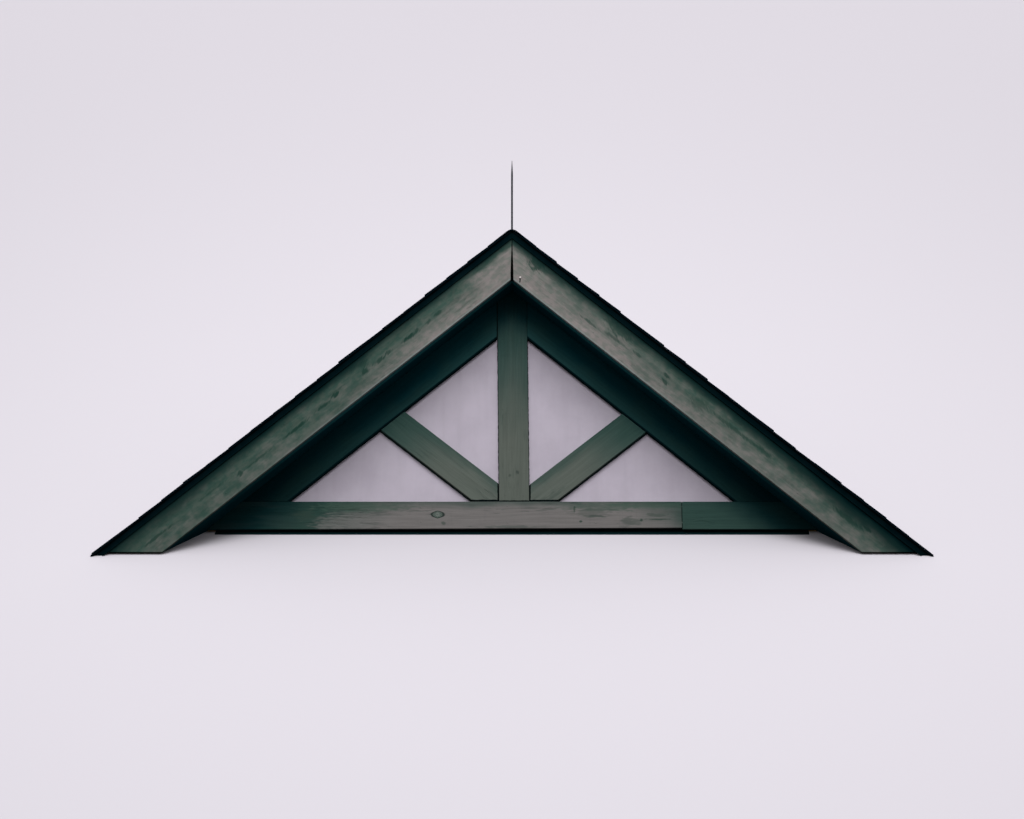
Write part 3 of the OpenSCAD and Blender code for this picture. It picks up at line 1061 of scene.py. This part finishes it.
def add_bare_nail(bare, stain):
    """One nail that has backed out of the right bargeboard, with a dark streak below it."""
    place = on_slope(RIGHT, 0.026, VERGE_FACE, 0.030)
    radius, proud, thickness = 0.0050, 0.0035, 0.0004
    nail_seed, streak_seed = 60, 61
    mesh = bmesh.new()
    nail_head(mesh, place, radius, proud)
    mark_grain(mesh, LEVEL, UPRIGHT, nail_seed)
    make_piece("bare_nail", mesh, [bare], "verge_paint")
    mesh = bmesh.new()
    outline = ((-0.0045, -0.004), (0.0035, -0.004), (0.0010, -0.024), (-0.0050, -0.026))
    near, far = (
        [mesh.verts.new(place + Vector((x, depth, z))) for x, z in outline]
        for depth in (-thickness, thickness)
    )
    mesh.faces.new(near)
    mesh.faces.new(far[::-1])
    for i in range(len(outline)):
        mesh.faces.new((near[i - 1], near[i], far[i], far[i - 1]))
    bmesh.ops.recalc_face_normals(mesh, faces=mesh.faces)
    mark_grain(mesh, LEVEL, UPRIGHT, streak_seed)
    make_piece("bare_nail_streak", mesh, [stain], "verge_paint")


# The wall, the verge and the framing

def dress_panel(row, word):
    """A panel with painted shade along its rim, where the neighbouring boards meet it."""
    node = f"{row}_panel_{word}"
    widths = {
        "upper": {"king_post": 0.003, f"strut_{word}": 0.002, f"frieze_{word}": 0.002},
        "lower": {"sill_board_long": 0.002, f"strut_{word}": 0.008, f"frieze_{word}": 0.002},
    }[row]
    finish = panel_finish(f"{row.title()} {word.title()} Panel Paint", laps_on(node, widths))
    dress_board(node, finish, UPRIGHT, LEVEL)


def dress_strut(word, side):
    """A strut with painted shade, nearly black, along its joints to the king post and the sill.
    """
    node = f"strut_{word}"
    joints = laps_on(node, {"king_post": 0.0080, "sill_board_long": 0.0090})
    age = Weathering(srgb(48, 71, 66), srgb(90, 97, 91), grey_from=0.55, greener_above=0.102)
    stain = stained_board(f"{word.title()} Strut Stain", age, joints=joints)
    run, rise = side * math.cos(STRUT_ANGLE), math.sin(STRUT_ANGLE)
    dress_board(node, stain, Vector((run, 0, rise)), Vector((-side * rise, 0, side * run)))


def dress_wall():
    post_marks = [(z, x, *rest) for x, z, *rest in from_corner("king_post", POST_MARKS)]
    # The post gets painted shade along its joint with the sill
    post = stained_board(
        "Post Stain", Weathering(srgb(46, 69, 65), srgb(89, 95, 89)), post_marks,
        laps_on("king_post", {"sill_board_long": 0.0055}),
    )
    dress_board("king_post", post, UPRIGHT, LEVEL, post_nails())
    dress_board("sill_board_long", sill_finish(), LEVEL, UPRIGHT, sill_nails())
    short_age = Weathering(
        srgb(46, 69, 64), srgb(58, 77, 70), sheltered=srgb(12, 42, 44), dark_down_to=0.08,
        green_from=0.24,
    )
    dress_board(
        "sill_board_short", stained_board("Short Sill Stain", short_age), LEVEL, UPRIGHT
    )
    for word, side in SIDES.items():
        dress_strut(word, side)
    mirror_pair("frieze", frieze_finish(), down_slope, out_of_slope)
    for row in ("upper", "lower"):
        for word in SIDES:
            dress_panel(row, word)
    sheathing = strand_finish("Sheathing", srgb(206, 172, 122), srgb(142, 104, 64))
    dress_board("wall_sheathing", sheathing, LEVEL, UPRIGHT)


def dress_verge():
    for word, side in SIDES.items():
        dress_board(
            f"bargeboard_{word}", verge_finish(word), down_slope(side), out_of_slope(side),
            verge_nails(side),
        )
    shaded = soffit_finish()
    mirror_pair("fly_rafter", shaded, down_slope, out_of_slope)
    mirror_pair("soffit", shaded, down_slope, inward)
    drip_coat = coated_metal_finish("Drip Edge Coat", srgb(1, 14, 18), srgb(4, 18, 22))
    for word in SIDES:
        carry_over(f"drip_edge_{word}", drip_coat)
    flashing_coat = coated_metal_finish("Flashing Coat", srgb(5, 24, 26), srgb(9, 28, 30))
    carry_over("wall_flashing", flashing_coat)


def dress_framing():
    timber = lumber_finish()
    dress_board("sole_plate", timber, LEVEL, Vector((0, COS, SIN)))
    dress_board("ridge_board", timber, INWARD, UPRIGHT)
    dress_board("gable_studs", timber, UPRIGHT, INWARD)
    for kind in ("gable_rafter", "jack_rafters"):
        mirror_pair(kind, timber, down_slope, out_of_slope)
    mirror_pair("lookouts", timber, inward, out_of_slope)
    for word, side in SIDES.items():
        valley = Vector((-side, 1, TAN))
        dress_board(f"valley_sleeper_{word}", timber, valley, SEAT_NORMAL.cross(valley))
    deck = strand_finish("Roof Deck", srgb(198, 164, 116), srgb(134, 98, 60))
    mirror_pair("roof_deck", deck, down_slope, inward)


# The roof covering: its top faces carry granules, all others are cut edges
GRANULES, CUT_EDGE = 0, 1
# Widths of the thick and the thin tabs, how many are thick, and how uneven they are laid
THICK_TAB = (0.115, 0.165)
THIN_TAB = (0.075, 0.150)
THICK_SHARE = 0.6
UNEVEN = 0.0015
# How far a shingle reaches up under the next course, and the first ones under the caps
HEAD_LAP = 0.020
UNDER_CAPS = 0.060
# The layer under the tabs, how much a thin tab lacks, and the rounding of a folded cap
LINING = 0.005
PLY = 0.003
FOLD_RADIUS = 0.036
# What the random draws start from
SHINGLE_SEED = 40
CAP_SEED = 77


def shingle_mesh():
    """An empty mesh whose corners keep if their tab is thick, their way up it and its tone."""
    mesh = bmesh.new()
    return mesh, mesh.verts.layers.float_vector.new("laid")


def add_wedge(covering, side, down, depth, heights, tone, thick):
    """One tab: a thin wedge from its upper end to its butt, closed on all sides."""
    mesh, laid = covering
    upper, butt = down
    top_at_upper, top_at_butt, underside = heights
    corners = []
    for along, top in ((upper, top_at_upper), (butt, top_at_butt)):
        for y in depth:
            for height in (underside, top):
                corner = mesh.verts.new(on_slope(side, along, y, DECK_TOP + height))
                corner[laid] = (thick, butt - along, tone)
                corners.append(corner)
    top_face = (1, 3, 7, 5)
    others = ((0, 4, 6, 2), (0, 1, 5, 4), (2, 6, 7, 3), (4, 5, 7, 6), (0, 2, 3, 1))
    for face in (top_face, *others):
        made = mesh.faces.new([corners[i] for i in face])
        made.material_index = GRANULES if face == top_face else CUT_EDGE


def cut_off(mesh, place, kept_side):
    """Cuts the mesh at a plane, keeps what lies on one side and closes the cuts."""
    cut = bmesh.ops.bisect_plane(
        mesh, geom=mesh.verts[:] + mesh.edges[:] + mesh.faces[:],
        plane_co=place, plane_no=kept_side, clear_inner=True,
    )
    edges = [item for item in cut["geom_cut"] if isinstance(item, bmesh.types.BMEdge)]
    for face in bmesh.ops.holes_fill(mesh, edges=edges, sides=0)["faces"]:
        face.material_index = CUT_EDGE


def finish_covering(name, mesh, materials, replaced):
    """Turns a covering's faces outwards and makes a piece of it."""
    bmesh.ops.recalc_face_normals(mesh, faces=mesh.faces)
    make_piece(name, mesh, materials, "shingle", [replaced])


def lay_shingles(word, side, materials):
    """Courses of laminated shingles: a thin layer with thick tabs on it, cut along the valley."""
    draw = random.Random(SHINGLE_SEED + side)
    covering = shingle_mesh()
    mesh = covering[0]
    first = ridge_start(RIDGE_FLAT)
    start = first + FIRST_BUTT
    corner = (APEX_HEIGHT + RIDGE_FLAT / COS - VERGE_FACE * TAN) / TAN
    courses = math.ceil(corner / COS / EXPOSURE)
    back = valley_depth(on_slope(side, first, 0, RIDGE_FLAT))
    gap_at_ridge, set_back, past_valley = 0.010, 0.004, 0.030
    add_wedge(
        covering, side, (first + gap_at_ridge, start + courses * EXPOSURE),
        (SHINGLE_FRONT + set_back, back), (LINING, LINING, 0.0), 0.3, 0,
    )
    for number in range(courses + 1):
        butt = start + number * EXPOSURE
        upper = butt - EXPOSURE - HEAD_LAP if number else first + UNDER_CAPS
        low = SHINGLE_LOW + draw.uniform(-0.0010, 0.0025)
        far = valley_depth(on_slope(side, upper, 0, DECK_TOP)) + past_valley
        near = SHINGLE_FRONT + draw.uniform(-UNEVEN, UNEVEN)
        if far < near:
            break
        thin = (low, SHINGLE_HIGH - PLY, LINING - PLY)
        thick = (low + 0.0005, SHINGLE_HIGH, LINING - PLY)
        y = near
        is_thick = draw.random() < THICK_SHARE
        while y < far:
            width = draw.uniform(*(THICK_TAB if is_thick else THIN_TAB))
            if y == near:
                width *= draw.uniform(0.4, 1.0)
            shift = draw.uniform(-UNEVEN, UNEVEN) - (0 if is_thick else 0.002)
            end = min(y + width, far)
            add_wedge(
                covering, side, (upper, butt + shift), (y, end), thick if is_thick else thin,
                draw.random(), int(is_thick),
            )
            y = end
            is_thick = not is_thick
    cut_off(mesh, SEAT_NORMAL * SEAT_LIFT, SEAT_NORMAL)
    cut_off(mesh, Vector((side * ROOF_TIP, 0, 0)), Vector((-side, 0, 0)))
    finish_covering(f"shingles_{word}_laid", mesh, materials, f"shingles_{word}")


def cap_line(y, height, width):
    """The line of a folded cap across the ridge, from its left edge to its right one."""
    centre = Vector((0, y, APEX_HEIGHT + (height - FOLD_RADIUS) / COS))
    down = ridge_start(height) + width
    steps = 3
    turns = [PITCH * step / steps for step in range(-steps, steps + 1)]
    fold = [centre + Vector((math.sin(a), 0, math.cos(a))) * FOLD_RADIUS for a in turns]
    return [on_slope(LEFT, down, y, height), *fold, on_slope(RIGHT, down, y, height)]


def lay_ridge_caps(materials):
    """Caps folded over the ridge from the front to the back, each butt towards the front."""
    draw = random.Random(CAP_SEED)
    mesh, laid = shingle_mesh()
    back = valley_depth(on_slope(RIGHT, ridge_start(RIDGE_FLAT), 0, RIDGE_FLAT))
    lap, raised, rear_top, rear_under = 0.030, 0.001, 0.0015, -0.001
    for number in range(math.ceil((back - SHINGLE_FRONT) / CAP_EXPOSURE)):
        front = SHINGLE_FRONT + number * CAP_EXPOSURE
        rear = front + CAP_EXPOSURE + lap
        width = CAP_WIDTH + draw.uniform(-0.002, 0.001)
        tone = draw.random()
        rows = []
        for y, height in (
            (front, CAP_THICKNESS), (front, raised), (rear, rear_top), (rear, rear_under)
        ):
            row = [mesh.verts.new(point) for point in cap_line(y, RIDGE_FLAT + height, width)]
            for corner in row:
                corner[laid] = (1, y - front, tone)
            rows.append(row)
        top, under, far_top, far_under = rows
        strips = (
            (top, far_top, GRANULES), (under, top, CUT_EDGE), (far_top, far_under, CUT_EDGE),
            (far_under, under, CUT_EDGE),
        )
        for i in range(len(top) - 1):
            for a, b, kind in strips:
                mesh.faces.new((a[i], a[i + 1], b[i + 1], b[i])).material_index = kind
        for i in (0, -1):
            end = mesh.faces.new((top[i], far_top[i], far_under[i], under[i]))
            end.material_index = CUT_EDGE
    cut_off(mesh, SEAT_NORMAL * SEAT_LIFT, SEAT_NORMAL)
    finish_covering("ridge_caps_laid", mesh, materials, "ridge_caps")


def dress_roof():
    materials = [shingle_finish(), cut_edge_finish()]
    for word, side in SIDES.items():
        lay_shingles(word, side, materials)
    lay_ridge_caps(materials)


def dress_rod():
    metal = rod_finish()
    for node in ("rod_base", "lightning_rod"):
        carry_over(node, metal)


# Stage, light and camera

def seen_directly(tree):
    """One where a ray comes from the camera, by reflection or through glass."""
    rays = add_node(tree, "LightPath")
    seen = rays["Is Camera Ray"].at_least(rays["Is Glossy Ray"])
    return seen.at_least(rays["Is Transmission Ray"])


def floor_finish():
    """A pale surface that lights nothing and can't be seen from behind."""
    finish = Finish("Floor", specular=0.0)
    finish.shader.inputs["Roughness"].default_value = 0.9
    away = finish.place().split()[1]
    pale = away.between(0.0, 10.0).mix(srgb(188, 184, 191), srgb(219, 214, 222))
    finish.colour = seen_directly(finish.tree).mix(srgb(92, 90, 92), pale)
    behind = add_node(finish.tree, "NewGeometry")["Backfacing"]
    front, back = Value(finish.shader.outputs[0]), add_node(finish.tree, "BsdfTransparent")[0]
    both = add_node(finish.tree, "MixShader", {0: behind, 1: front, 2: back})[0]
    feed(finish.tree.nodes["Material Output"].inputs["Surface"], both)
    return finish.done()


def build_floor():
    """The sloping surface that the dormer stands on, open under the frame."""
    half_width, low, high = 14.0, -5.0, 18.0
    lift = SEAT_LIFT - 0.001
    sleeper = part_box("valley_sleeper_right")[1]
    reach, depth = sleeper.x - 0.10, sleeper.y - 0.15
    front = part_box("wall_sheathing")[0].y + 0.004
    outer = [(-half_width, low), (half_width, low), (half_width, high), (-half_width, high)]
    hole = [(-reach, front), (reach, front), (0, depth)]
    mesh = bmesh.new()
    edges = []
    for ring in (outer, hole):
        corners = [mesh.verts.new((x, y, y * TAN + lift / COS)) for x, y in ring]
        edges += [mesh.edges.new((a, b)) for a, b in zip(corners, corners[1:] + corners[:1])]
    bmesh.ops.triangle_fill(mesh, edges=edges, use_beauty=True)
    for face in mesh.faces:
        face.normal_update()
        if face.normal.z < 0:
            face.normal_flip()
    floor = add_object("floor", finished_data("floor", mesh, [floor_finish()]))
    floor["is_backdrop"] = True


def light_world():
    """Soft light from all sides, a little from below, and a pale background to look at."""
    world = bpy.data.worlds.new("Studio")
    bpy.context.scene.world = world
    world.use_nodes = True
    tree = world.node_tree
    tree.nodes.remove(tree.nodes["Background"])
    up = add_node(tree, "TexCoord")["Generated"].split()[2]
    strength = up.between(-0.05, 0.05, 0.07, 0.42) + (up * 1.1).at_least(0.0)
    lit = add_node(tree, "Background", {"Color": (1, 1, 1, 1), "Strength": strength})[0]
    seen = add_node(tree, "Background", {"Color": srgb(225, 220, 230), "Strength": 1.0})[0]
    both = add_node(tree, "MixShader", {0: seen_directly(tree), 1: lit, 2: seen})[0]
    feed(tree.nodes["World Output"].inputs["Surface"], both)


def add_softbox(name, place, size, power, target):
    """A large square lamp turned towards a point."""
    data = bpy.data.lights.new(name, "AREA")
    data.shape = "SQUARE"
    data.size = size
    data.energy = power
    lamp = add_object(name, data)
    lamp.location = place
    lamp.rotation_mode = "QUATERNION"
    lamp.rotation_quaternion = (Vector(target) - Vector(place)).to_track_quat("-Z", "Y")
    lamp.visible_camera = False


def place_camera():
    """The photograph's view: from below in front, tilted up."""
    distance, drop, tilt = 11.033, 2.903, math.radians(17.5)
    image_width, focal_pixels, sensor = 1024, 2430, 36.0
    data = bpy.data.cameras.new("Camera")
    data.sensor_width = sensor
    data.lens = focal_pixels * sensor / image_width
    data.clip_end = 200.0
    camera = add_object("Camera", data)
    camera.location = (0, -distance, -drop)
    camera.rotation_euler = (math.pi / 2 + tilt, 0, 0)
    bpy.context.scene.camera = camera


def write_sizes(before, after):
    """Lays the CAD box and the dressed one side by side in a table, which is not kept."""
    boxes = {
        "cad": [list(corner) for corner in before],
        "visual": [list(corner) for corner in after],
    }


bpy.context.scene.view_settings.view_transform = "Standard"
place_camera()
dress_wall()
dress_verge()
dress_framing()
dress_roof()
add_bare_nail(bare_nail_finish(), streak_finish())
dress_rod()
build_floor()
light_world()
add_softbox("front_softbox", (0, -5.6, 6.6), size=4.5, power=560, target=(0, 0, 0.5))
add_softbox("back_softbox", (0, 6.0, -2.0), size=3.0, power=250, target=(0, 0.4, 0.5))
write_sizes(cad_box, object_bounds())
